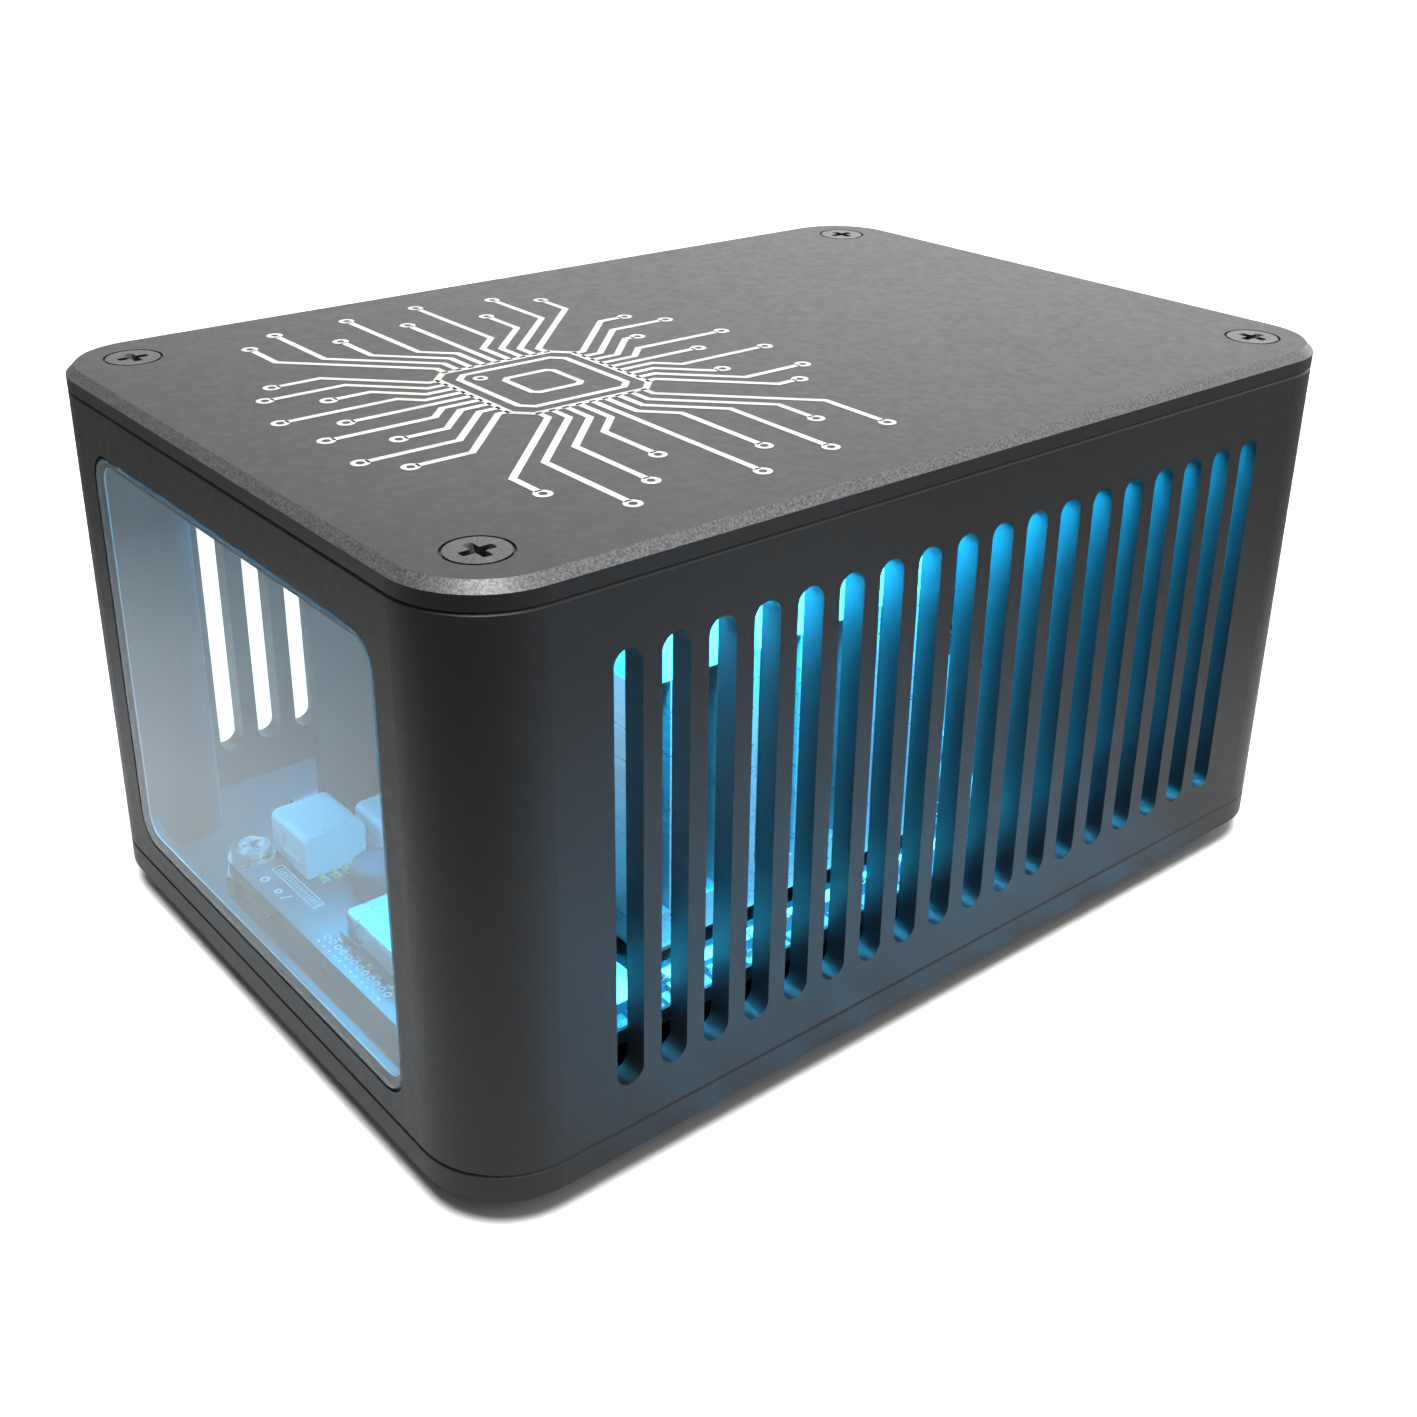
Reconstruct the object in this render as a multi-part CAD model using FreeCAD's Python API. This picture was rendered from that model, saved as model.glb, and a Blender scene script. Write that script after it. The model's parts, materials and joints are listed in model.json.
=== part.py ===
import FreeCAD, Part
import math
import os

# A single board computer in a closed aluminium case with a window and vent slots.
# Millimetres. +Z is up, +X runs along the case from the window end to the port end.
# The origin is the middle of the case on the surface that its feet stand on.

Vector = FreeCAD.Vector
X = Vector(1, 0, 0)
Y = Vector(0, 1, 0)
UP = Vector(0, 0, 1)
DOWN = Vector(0, 0, -1)

# ---- driving dimensions -------------------------------------------------------------------

case_length = 118.0
case_width = 82.0
case_corner = 9.0
wall = 2.5
foot_height = 2.0
base_thick = 3.7
tube_height = 54.5
lid_thick = 2.5

slot_count = 18
slot_pitch = 5.0
slot_width = 3.0
slot_top_below_lid = 8.4
slot_bottom_below_lid = 52.15

window_width = 58.0
window_top_below_lid = 7.35
window_bottom_below_lid = 54.05
window_corner = 3.5
window_rebate = 1.65
window_ledge = 1.3

post_inset = 7.35
post_radius = 4.6

board_front = -55.0
board_back = 54.2
board_right = -36.2
board_left = 15.3
board_thick = 1.6
standoff_height = 5.0

sink_size = 40.0
sink_front = -33.0
sink_base = 4.0
fin_height = 25.0
fin_count = 13
fin_thick = 1.2
fan_thick = 10.0
fan_hole_pitch = 32.0

panel_thick = 1.6
port_reach = 0.4

# ---- heights and planes that follow from them ---------------------------------------------

half_length = case_length / 2
half_width = case_width / 2
base_bottom = foot_height
base_top = base_bottom + base_thick
lid_bottom = base_top + tube_height
case_top = lid_bottom + lid_thick
inner_end = half_length - wall
inner_side = half_width - wall
post_x = half_length - post_inset
post_y = half_width - post_inset

board_bottom = base_top + standoff_height
board_top = board_bottom + board_thick
board_middle = (board_left + board_right) / 2

chip_thick = 1.4
pad_thick = 0.5
sink_bottom = board_top + chip_thick + pad_thick
fin_bottom = sink_bottom + sink_base
sink_top = fin_bottom + fin_height
sink_x = sink_front + sink_size / 2
sink_y = board_middle
fan_top = sink_top + fan_thick

panel_face = inner_end
panel_back = panel_face - panel_thick
port_face = panel_face + port_reach

corners = [(sx, sy) for sx in (-1, 1) for sy in (-1, 1)]

# Screw sizes as (head radius, shank radius)
m2 = (1.9, 1.0)
m25 = (2.2, 1.25)
m3 = (2.8, 1.5)
head_rim = 0.25
head_gap = 0.28


# ---- helpers ------------------------------------------------------------------------------

def block(x0, x1, y0, y1, z0, z1):
    return Part.makeBox(x1 - x0, y1 - y0, z1 - z0, Vector(x0, y0, z0))


def centred(x, y, z, size_x, size_y, size_z):
    """A block centred on x and y that stands on z."""
    return block(x - size_x / 2, x + size_x / 2, y - size_y / 2, y + size_y / 2, z, z + size_z)


def rod(radius, x, y, z, length, direction=UP):
    return Part.makeCylinder(radius, length, Vector(x, y, z), direction)


def ring(outer, inner, x, y, z, length, direction=UP):
    return rod(outer, x, y, z, length, direction).cut(rod(inner, x, y, z, length, direction))


def straight_edges(shape, direction):
    found = []
    for edge in shape.Edges:
        if isinstance(edge.Curve, Part.Line) and abs(edge.Curve.Direction.dot(direction)) > 0.999:
            found.append(edge)
    return found


def level_edges(shape, height):
    found = []
    for edge in shape.Edges:
        box = edge.BoundBox
        if abs(box.ZMin - height) < 1e-4 and abs(box.ZMax - height) < 1e-4:
            found.append(edge)
    return found


def rounded(x0, x1, y0, y1, z0, z1, radius, direction=UP):
    """A block whose four edges along one direction are rounded."""
    shape = block(x0, x1, y0, y1, z0, z1)
    return shape.makeFillet(radius, straight_edges(shape, direction))


def turned(profile):
    """A solid of revolution about Z from (radius, height) points."""
    points = [Vector(radius, 0, height) for radius, height in profile]
    face = Part.Face(Part.makePolygon(points + points[:1]))
    return face.revolve(Vector(0, 0, 0), UP, 360)


def moved(shape, x, y, z, turn=0.0, axis=Y):
    """A copy turned about an axis through the origin, then put at a point."""
    copy = shape.copy()
    copy.rotate(Vector(0, 0, 0), axis, turn)
    copy.translate(Vector(x, y, z))
    return copy


def save(node, *shapes):
    solids = [solid for shape in shapes for solid in shape.Solids]
    whole = solids[0] if len(solids) == 1 else Part.makeCompound(solids)
    assert all(solid.isValid() and solid.Volume > 0 for solid in solids), node
    whole.exportStep("parts/%s.step" % node)
    print("%-26s %3d solids %10.2f mm3" % (node, len(solids), whole.Volume))


# ---- fasteners ----------------------------------------------------------------------------

def cross_recess(reach, depth):
    """A tapering cross, cut down from z = 0."""
    arm = reach * 0.27
    one = block(-reach, reach, -arm, arm, -depth, 0.1)
    other = block(-arm, arm, -reach, reach, -depth, 0.1)
    taper = Part.makeCone(reach, reach * 0.45, depth + 0.1, Vector(0, 0, 0.1), DOWN)
    return one.fuse(other).common(taper)


def countersunk_screw(size, length):
    """Points down, with its flat face at z = 0."""
    head, shank = size
    cone_end = -head_rim - (head - shank)
    body = turned([(0, 0), (head, 0), (head, -head_rim), (shank, cone_end), (shank, -length), (0, -length)])
    return body.cut(cross_recess(head * 0.6, head * 0.5))


def countersink(size, depth):
    """The hole that a countersunk screw sits in, with a thin open ring round its head."""
    head, shank = size
    hole = shank + 0.2
    bore = head + head_gap
    cone_end = -head_rim - (head - hole)
    outline = [(0, 0.5), (bore, 0.5), (bore, -head_rim), (head, -head_rim)]
    outline += [(hole, cone_end), (hole, -depth), (0, -depth)]
    return turned(outline)


def pan_screw(size, length):
    """Points down, with the underside of its head at z = 0."""
    head, shank = size
    height = head * 0.62
    dome = height * 0.55
    outline = [(0, height), (head * 0.62, height), (head * 0.9, height - dome * 0.35)]
    outline += [(head, height - dome), (head, 0), (shank, 0), (shank, -length), (0, -length)]
    recess = cross_recess(head * 0.55, height * 0.7)
    recess.translate(Vector(0, 0, height))
    return turned(outline).cut(recess)


# ---- case ---------------------------------------------------------------------------------

parting_chamfer = 0.2
edge_chamfer = 0.9
thread_depth = 10.0
case_screw_length = 9.0
feet = [(sx * 49.0, sy * 22.0) for sx, sy in corners]
board_holes = [(-52.3, 12.6), (43.0, 11.8), (-43.3, -32.2), (43.5, -32.2)]
panel_screws = [(sy * 26.9, z) for sy in (-1, 1) for z in (14.0, 48.0)]
port_opening = (24.5, 10.6, 51.5)
cover_screws = [(-32.0, 25.5), (26.0, 25.5)]
cover_screw_depth = 2.2


def slot(x, side):
    """One upright vent slot with round ends, through the wall on one side."""
    start = side * (inner_side - 2)
    direction = Vector(0, side, 0)
    depth = wall + 4
    low = case_top - slot_bottom_below_lid + slot_width / 2
    high = case_top - slot_top_below_lid - slot_width / 2
    ends = sorted((start, start + side * depth))
    middle = block(x - slot_width / 2, x + slot_width / 2, ends[0], ends[1], low, high)
    bottom = rod(slot_width / 2, x, start, low, depth, direction)
    top = rod(slot_width / 2, x, start, high, depth, direction)
    return middle.multiFuse([bottom, top])


def post(sx, sy):
    """A corner post for the plate screws, filled out to both walls."""
    x = sx * post_x
    y = sy * post_y
    ends = sorted((x, sx * (half_length - 1)))
    sides = sorted((y - sy * post_radius, sy * (half_width - 1)))
    inner = sorted((x - sx * post_radius, sx * (half_length - 1)))
    outer = sorted((y, sy * (half_width - 1)))
    column = rod(post_radius, x, y, base_top, tube_height)
    to_end = block(ends[0], ends[1], sides[0], sides[1], base_top, lid_bottom)
    to_side = block(inner[0], inner[1], outer[0], outer[1], base_top, lid_bottom)
    return column.multiFuse([to_end, to_side])


def case_body():
    outside = rounded(-half_length, half_length, -half_width, half_width, base_top, lid_bottom, case_corner)
    rims = level_edges(outside, base_top) + level_edges(outside, lid_bottom)
    outside = outside.makeChamfer(parting_chamfer, rims)
    hollow = rounded(-inner_end, inner_end, -inner_side, inner_side, base_top - 1, lid_bottom + 1,
                     case_corner - wall)
    posts = [post(sx, sy).common(outside) for sx, sy in corners]
    body = outside.cut(hollow).multiFuse(posts).removeSplitter()

    cuts = []
    first = -slot_pitch * (slot_count - 1) / 2
    for index in range(slot_count):
        cuts.append(slot(first + index * slot_pitch, -1))
        cuts.append(slot(first + index * slot_pitch, 1))
    for sx, sy in corners:
        cuts.append(rod(m3[1], sx * post_x, sy * post_y, base_top - 1, thread_depth + 1))
        cuts.append(rod(m3[1], sx * post_x, sy * post_y, lid_bottom - thread_depth, thread_depth + 1))

    low = case_top - window_bottom_below_lid
    high = case_top - window_top_below_lid
    half = window_width / 2
    cuts.append(rounded(-half_length - 1, -half_length + window_rebate, -half, half, low, high,
                        window_corner, X))
    ledge = window_ledge
    cuts.append(rounded(-half_length - 1, -inner_end + 1, -half + ledge, half - ledge,
                        low + ledge, high - ledge, window_corner - ledge, X))

    reach, bottom, top = port_opening
    cuts.append(rounded(inner_end - 1, half_length + 1, -reach, reach, bottom, top, 3.0, X))
    for y, z in panel_screws:
        cuts.append(moved(countersink(m2, wall + 1), half_length, y, z, 90))
    return body.cut(cuts)


def lid():
    plate = rounded(-half_length, half_length, -half_width, half_width, lid_bottom, case_top, case_corner)
    plate = plate.makeChamfer(edge_chamfer, level_edges(plate, case_top))
    plate = plate.makeChamfer(parting_chamfer, level_edges(plate, lid_bottom))
    sinks = [moved(countersink(m3, lid_thick + 1), sx * post_x, sy * post_y, case_top) for sx, sy in corners]
    return plate.cut(sinks)


def base():
    plate = rounded(-half_length, half_length, -half_width, half_width, base_bottom, base_top, case_corner)
    plate = plate.makeChamfer(edge_chamfer, level_edges(plate, base_bottom))
    plate = plate.makeChamfer(parting_chamfer, level_edges(plate, base_top))
    sinks = [moved(countersink(m3, base_thick + 1), sx * post_x, sy * post_y, base_bottom, 180)
             for sx, sy in corners]
    sinks += [moved(countersink(m25, base_thick + 1), x, y, base_bottom, 180) for x, y in board_holes]
    sinks += [rod(m25[1], x, y, base_top - cover_screw_depth, cover_screw_depth + 1) for x, y in cover_screws]
    return plate.cut(sinks)


def foot(x, y):
    pad = rod(5.0, x, y, 0, foot_height)
    return pad.makeFillet(0.5, level_edges(pad, 0))


def window_pieces():
    """The clear panel and the bead of adhesive that holds it on the ledge."""
    gap = 0.15
    bead = 0.15
    low = case_top - window_bottom_below_lid
    high = case_top - window_top_below_lid
    half = window_width / 2
    back = -half_length + window_rebate
    panel = rounded(back - bead - 1.5, back - bead, -half + gap, half - gap, low + gap, high - gap,
                    window_corner - gap, X)
    front_edges = [edge for edge in panel.Edges if edge.BoundBox.XMax < back - bead - 1.49]
    panel = panel.makeChamfer(0.25, front_edges)
    glue = rounded(back - bead, back, -half + gap, half - gap, low + gap, high - gap, window_corner - gap, X)
    hole = rounded(back - 1, back + 1, -half + window_ledge, half - window_ledge,
                   low + window_ledge, high - window_ledge, window_corner - window_ledge, X)
    return panel, glue.cut(hole)


plate_screw = countersunk_screw(m3, case_screw_length)
window_panel, window_adhesive = window_pieces()

os.makedirs("parts", exist_ok=True)
save("case_body", case_body())
save("top_plate", lid())
save("bottom_plate", base())
save("window_panel", window_panel)
save("window_adhesive", window_adhesive)
save("top_screws", *[moved(plate_screw, sx * post_x, sy * post_y, case_top) for sx, sy in corners])
save("bottom_screws", *[moved(plate_screw, sx * post_x, sy * post_y, base_bottom, 180) for sx, sy in corners])
save("rubber_feet", *[foot(x, y) for x, y in feet])


# ---- board and what holds it --------------------------------------------------------------

header_rows = 20
header_pitch = 2.54
header_first = (-24.0 + header_pitch / 2, 12.6 - header_pitch / 2)
sink_holes = [(sink_x + sx * 16.0, sink_y + sy * 16.0) for sx, sy in corners]
notch = 5.25


def header_places():
    x, y = header_first
    return [(x + row * header_pitch, y + line * header_pitch)
            for row in range(header_rows) for line in (0, 1)]


def circuit_board():
    board = block(board_front, board_back, board_right, board_left, board_bottom, board_top)
    for side in (-1, 1):
        edge = side * (post_x - notch)
        ends = sorted((edge, side * half_length))
        board = board.cut(block(ends[0], ends[1], -half_width, -post_y + notch, 0, case_top))
    square = straight_edges(board, UP)
    board = board.makeFillet(3.2, [edge for edge in square if edge.BoundBox.YMin > board_left - 0.1])
    square = straight_edges(board, UP)
    board = board.makeFillet(1.2, [edge for edge in square if edge.BoundBox.YMax < -post_y + notch + 0.1])
    holes = [rod(1.35, x, y, board_bottom - 1, board_thick + 2) for x, y in board_holes + sink_holes]
    holes += [rod(0.5, x, y, board_bottom - 1, board_thick + 2) for x, y in header_places()]
    return board.cut(holes)


def standoff(x, y):
    across_flats = 5.5
    radius = across_flats / 2 / math.cos(math.pi / 6)
    points = []
    for step in range(7):
        turn = math.radians(60 * step)
        points.append(Vector(x + radius * math.cos(turn), y + radius * math.sin(turn), base_top))
    body = Part.Face(Part.makePolygon(points)).extrude(Vector(0, 0, standoff_height))
    return body.cut(rod(m25[1], x, y, base_top - 1, standoff_height + 2))


lower_screw = countersunk_screw(m25, 6.0)
upper_screw = pan_screw(m25, 4.0)
save("circuit_board", circuit_board())
save("board_standoffs", *[standoff(x, y) for x, y in board_holes])
save("standoff_screws", *[moved(lower_screw, x, y, base_bottom, 180) for x, y in board_holes])
save("board_screws", *[moved(upper_screw, x, y, board_top) for x, y in board_holes])


# ---- cable cover beside the board ---------------------------------------------------------

cover_x = (-40.0, 34.0)
cover_y = 20.0
cover_top = 42.0
cover_thick = 1.2
cover_foot = 9.0


def cable_cover():
    """A bent sheet that stands on the bottom plate, with its foot towards the +Y wall."""
    upright = block(*cover_x, cover_y, cover_y + cover_thick, base_top, cover_top)
    foot_plate = block(*cover_x, cover_y, cover_y + cover_foot, base_top, base_top + cover_thick)
    body = upright.fuse(foot_plate).removeSplitter()
    outer_bend = [edge for edge in straight_edges(body, X)
                  if edge.BoundBox.ZMax < base_top + 0.1 and edge.BoundBox.YMax < cover_y + 0.1]
    body = body.makeFillet(cover_thick + 0.4, outer_bend)
    upper = [edge for edge in straight_edges(body, Y) if edge.BoundBox.ZMin > cover_top - 0.1]
    body = body.makeFillet(3.0, upper)
    holes = [rod(m25[1] + 0.2, x, y, base_top - 1, cover_thick + 2) for x, y in cover_screws]
    return body.cut(holes)


cover_screw = pan_screw(m25, cover_thick + cover_screw_depth)
save("cable_cover", cable_cover())
save("cable_cover_screws", *[moved(cover_screw, x, y, base_top + cover_thick) for x, y in cover_screws])


# ---- chips and other board parts ----------------------------------------------------------

def chip(x, y, size_x, size_y, height):
    """A flat package with a small chamfer round its top."""
    body = centred(x, y, board_top, size_x, size_y, height)
    return body.makeChamfer(0.15, level_edges(body, board_top + height))


def square_inductor(x, y):
    body = centred(x, y, board_top, 6.6, 6.6, 3.0)
    return body.makeFillet(0.8, straight_edges(body, UP))


def round_inductor(x, y):
    body = rod(3.0, x, y, board_top, 3.2)
    return body.makeFillet(0.7, level_edges(body, board_top + 3.2))


def capacitor(x, y):
    """A can on a square plastic foot."""
    foot_plate = centred(x, y, board_top, 6.6, 6.6, 0.9)
    can = rod(3.15, x, y, board_top + 0.9, 6.8)
    can = can.makeFillet(0.5, level_edges(can, board_top + 7.7))
    return can.fuse(foot_plate)


memory_offset = 13.5
save("processor", chip(sink_x, sink_y, 17.0, 17.0, chip_thick))
save("thermal_pad", centred(sink_x, sink_y, board_top + chip_thick, 18.0, 18.0, pad_thick))
save("memory_chips", *[chip(sink_x, sink_y + side * memory_offset, 14.0, 8.0, 1.0) for side in (-1, 1)])
save("storage_chip", chip(15.5, -1.5, 11.5, 13.0, 1.0))
save("support_chips", chip(28.0, -4.2, 6.0, 6.0, 0.9), chip(28.5, 3.4, 7.0, 7.0, 0.9))
save("power_inductors", *[square_inductor(x, -22.3) for x in (13.2, 21.4, 29.6)], round_inductor(-44.6, -1.4))
save("bulk_capacitors", *[capacitor(x, -13.0) for x in (13.2, 21.4, 29.6)])
save("status_leds", *[chip(46.8, y, 0.8, 1.6, 0.7) for y in (4.6, 7.8)])


# ---- wireless module at the front ---------------------------------------------------------

module_x = (-52.3, -34.3)
module_y = (-26.2, -7.0)
module_thick = 0.8
shield_height = 2.4


def shield():
    """A drawn metal lid with rounded corners, hollow underneath."""
    low = board_top + module_thick
    x0, x1 = module_x
    y0, y1 = module_y
    outside = rounded(x0 + 0.4, x1 - 0.4, y0 + 5.2, y1 - 0.2, low, low + shield_height, 0.9)
    outside = outside.makeFillet(0.3, level_edges(outside, low + shield_height))
    hollow = rounded(x0 + 0.65, x1 - 0.65, y0 + 5.45, y1 - 0.45, low, low + shield_height - 0.25, 0.65)
    return outside.cut(hollow)


save("wireless_module_board", block(*module_x, *module_y, board_top, board_top + module_thick))
save("wireless_module_shield", shield())


# ---- wire-to-board sockets ----------------------------------------------------------------

front_sockets = [(-50.0, -43.0, 4.3, 12.0, 4.9), (-41.9, -35.3, 1.9, 8.5, 4.4)]
socket_wall = 0.8
back_wall = 1.6
contact = 0.5
contact_pitch = 1.4
contact_inset = 0.4
tail_reach = 1.2
tail_thick = 0.25
slit = 0.25
slit_depth = 0.7
recess_depth = 0.35


def contact_places(x0, x1):
    """X of the four contacts, evenly about the socket's middle."""
    first = (x0 + x1) / 2 - 1.5 * contact_pitch
    return [first + index * contact_pitch for index in range(4)]


def front_contacts(x0, x1, y0, y1, height):
    """Four bent contacts: a pin in the mouth, a leg inside the back wall and a soldered tail."""
    middle = board_top + height / 2
    half = contact / 2
    leg_end = y0 + contact_inset + contact
    contacts = []
    for x in contact_places(x0, x1):
        pin = block(x - half, x + half, y0 + contact_inset, y1 - 1.2, middle - half, middle + half)
        leg = block(x - half, x + half, y0 + contact_inset, leg_end, board_top, middle + half)
        tail = block(x - half, x + half, y0 - tail_reach, leg_end, board_top, board_top + tail_thick)
        contacts.append(pin.fuse([leg, tail]).removeSplitter())
    return contacts


def front_socket(x0, x1, y0, y1, height):
    """A side-entry socket whose mouth faces +Y, with two slits in its back and a recess in its -X side."""
    top = board_top + height
    body = block(x0, x1, y0, y1, board_top, top)
    left = [edge for edge in straight_edges(body, Y) if edge.BoundBox.ZMin > board_top + 1]
    body = body.makeFillet(0.9, left)
    mouth = block(x0 + socket_wall, x1 - socket_wall, y0 + back_wall, y1 + 1,
                  board_top + socket_wall, top - socket_wall)
    middle = (x0 + x1) / 2
    slits = [block(x, x + slit, y0 - 1, y0 + slit_depth, top - slit_depth, top + 1)
             for x in (middle - 1.1, middle + 1.3)]
    recess = block(x0 - 1, x0 + recess_depth, y0 + 1.8, y1 - 2.2, board_top + 1.2, top - 1.5)
    return body.cut([mouth, recess] + slits + front_contacts(x0, x1, y0, y1, height))


save("front_sockets", *[front_socket(*place) for place in front_sockets])
save("front_contacts", *[pin for place in front_sockets for pin in front_contacts(*place)])


# ---- pin header ---------------------------------------------------------------------------

pin_side = 0.64
header_base_height = 2.54


def header_base():
    x, y = header_first
    low_x = x - header_pitch / 2
    low_y = y - header_pitch / 2
    body = block(low_x, low_x + header_rows * header_pitch, low_y, low_y + 2 * header_pitch,
                 board_top, board_top + header_base_height)
    holes = [centred(px, py, board_top - 1, pin_side, pin_side, 5) for px, py in header_places()]
    return body.cut(holes)


save("header_base", header_base())
save("header_pins", *[centred(x, y, board_bottom - 1.4, pin_side, pin_side, 11.5)
                      for x, y in header_places()])


# ---- heatsink -----------------------------------------------------------------------------

fan_screw_reach = 9.0
fan_corners = [(sink_x + sx * fan_hole_pitch / 2, sink_y + sy * fan_hole_pitch / 2) for sx, sy in corners]


def heatsink():
    """A base with flat fins that run along Y, cut for the fan's screws and tapped from below."""
    half = sink_size / 2
    body = centred(sink_x, sink_y, sink_bottom, sink_size, sink_size, sink_base)
    step = (sink_size - fin_thick) / (fin_count - 1)
    fins = []
    for index in range(fin_count):
        x = sink_front + index * step
        fins.append(block(x, x + fin_thick, sink_y - half, sink_y + half, fin_bottom - 0.5, sink_top))
    body = body.multiFuse(fins).removeSplitter()
    cuts = [rod(m3[1], x, y, sink_top - fan_screw_reach, fan_screw_reach + 1) for x, y in fan_corners]
    cuts += [rod(m25[1], x, y, sink_bottom - 1, 4.2) for x, y in sink_holes]
    return body.cut(cuts)


sink_screw = pan_screw(m25, board_thick + chip_thick + pad_thick + 3.0)
save("heatsink", heatsink())
save("heatsink_screws", *[moved(sink_screw, x, y, board_bottom, 180) for x, y in sink_holes])
save("heatsink_spacers", *[ring(2.5, 1.35, x, y, board_top, chip_thick + pad_thick) for x, y in sink_holes])


# ---- fan ----------------------------------------------------------------------------------

fan_bore = 18.8
hub_floor = 1.5
hub_radius = 11.0
bearing_radius = 2.0
shaft_radius = 0.75
shaft_clearance = 0.05
rotor_radius = 10.5
blade_tip = 18.1
blade_count = 7


def fan_frame():
    half = sink_size / 2
    body = rounded(sink_x - half, sink_x + half, sink_y - half, sink_y + half, sink_top, fan_top, 3.0)
    body = body.cut(rod(fan_bore, sink_x, sink_y, sink_top - 1, fan_thick + 2))
    hub = rod(hub_radius, sink_x, sink_y, sink_top, hub_floor)
    struts = []
    for index in range(4):
        strut = block(hub_radius - 1, fan_bore + 0.6, -1.4, 1.4, 0, hub_floor)
        struts.append(moved(strut, sink_x, sink_y, sink_top, 90 * index + 12, UP))
    body = body.multiFuse([hub] + struts)
    holes = [rod(1.75, x, y, sink_top - 1, fan_thick + 2) for x, y in fan_corners]
    return body.cut(holes)


def fan_stator():
    """Four winding cores round the bearing."""
    low = sink_top + hub_floor + 0.5
    core = ring(3.6, bearing_radius, 0, 0, 0, 4.5)
    arms = []
    for index in range(4):
        arm = block(3.2, 6.6, -1.5, 1.5, 0, 4.5)
        shoe = ring(7.6, 6.2, 0, 0, 0, 4.5).common(block(4, 9, -3.4, 3.4, 0, 4.5))
        arms += [moved(piece, 0, 0, 0, 90 * index, UP) for piece in (arm, shoe)]
    return moved(core.multiFuse(arms).removeSplitter(), sink_x, sink_y, low)


def fan_blade(low, high):
    """One bowed blade that reaches out along X."""
    middle = (low + high) / 2
    rise = 3.4
    chord = 4.3
    thick = 0.9
    ends = [Vector(9, -chord, middle + rise), Vector(9, chord, middle - rise)]
    bow = Vector(9, 0.9, middle + 0.9)
    drop = Vector(0, 0, -thick)
    upper = Part.Arc(ends[0], bow, ends[1]).toShape()
    lower = Part.Arc(ends[0] + drop, bow + drop, ends[1] + drop).toShape()
    sides = [Part.makeLine(end, end + drop) for end in ends]
    face = Part.Face(Part.Wire(Part.__sortEdges__([upper, lower] + sides)))
    sheet = face.extrude(Vector(11, 0, 0))
    return sheet.common(ring(blade_tip, rotor_radius - 0.4, 0, 0, low, high - low))


def fan_rotor():
    """A cup with blades outside and a shaft down its middle."""
    low = sink_top + hub_floor + 0.7
    top = fan_top - 0.6
    cup = rod(rotor_radius, 0, 0, low, top - low)
    cup = cup.makeFillet(0.8, level_edges(cup, top))
    cup = cup.cut(rod(rotor_radius - 0.9, 0, 0, low - 1, top - low))
    shaft = rod(shaft_radius, 0, 0, low, top - low - 0.5)
    blades = [moved(fan_blade(low + 0.2, top - 0.5), 0, 0, 0, 360 / blade_count * index, UP)
              for index in range(blade_count)]
    return moved(cup.multiFuse([shaft] + blades).removeSplitter(), sink_x, sink_y, 0)


fan_screw = pan_screw(m3, fan_thick + fan_screw_reach - 1)
save("fan_frame", fan_frame())
save("fan_stator", fan_stator())
save("fan_bearing", ring(bearing_radius, shaft_radius + shaft_clearance, sink_x, sink_y,
                         sink_top + hub_floor, 6.0))
save("fan_rotor", fan_rotor())
save("fan_screws", *[moved(fan_screw, x, y, fan_top) for x, y in fan_corners])

fan_plug_x = 14.75
fan_plug_y = 7.6
save("fan_socket", centred(fan_plug_x, fan_plug_y, board_top, 7.5, 4.0, 3.2))
save("fan_plug", centred(fan_plug_x, fan_plug_y, board_top + 3.2, 7.1, 3.6, 6.0))


# ---- leads --------------------------------------------------------------------------------

def lead(name, points, radius):
    """A round lead: straight runs joined by tangent arcs."""
    stops = [Vector(*point) for point in points]
    pieces = []
    bends = []
    start = stops[0]
    for before, corner, after in zip(stops, stops[1:], stops[2:]):
        way_in = corner - before
        way_out = after - corner
        half_turn = way_in.getAngle(way_out) / 2
        reach = 0.45 * min(way_in.Length, way_out.Length)
        bend = reach / math.tan(half_turn)
        way_in.normalize()
        way_out.normalize()
        inward = way_out - way_in
        inward.normalize()
        first = corner - way_in * reach
        last = corner + way_out * reach
        middle = corner + inward * (bend / math.cos(half_turn) - bend)
        pieces.append(Part.LineSegment(start, first).toShape())
        pieces.append(Part.Arc(first, middle, last).toShape())
        bends.append(bend)
        start = last
    pieces.append(Part.LineSegment(start, stops[-1]).toShape())
    path = Part.Wire(pieces)
    section = Part.Wire(Part.makeCircle(radius, stops[0], stops[1] - stops[0]))
    solid = path.makePipeShell([section], True, True)
    expected = math.pi * radius * radius * path.Length
    print("%s length %.1f, tightest bend %.1f, volume over expected %.4f"
          % (name, path.Length, min(bends), solid.Volume / expected))
    return solid


fan_route = [(fan_plug_x, fan_plug_y, board_top + 9.2), (fan_plug_x, fan_plug_y, 33.0),
             (14.0, 5.6, 46.5), (sink_x + sink_size / 2, 5.6, 46.5)]
save("fan_lead", lead("fan_lead", fan_route, 0.9))


# ---- light strips under the lid -----------------------------------------------------------

strip_front = -38.0
strip_back = 46.0
strip_middle = 34.2
strip_width = 8.0
tape_thick = 0.3
led_count = 9
led_first = -34.5
led_pitch = 9.5
led_size = 5.0
led_thick = 1.6


def strip_tape(side):
    return block(strip_front, strip_back, side * strip_middle - strip_width / 2,
                 side * strip_middle + strip_width / 2, lid_bottom - tape_thick, lid_bottom)


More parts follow.
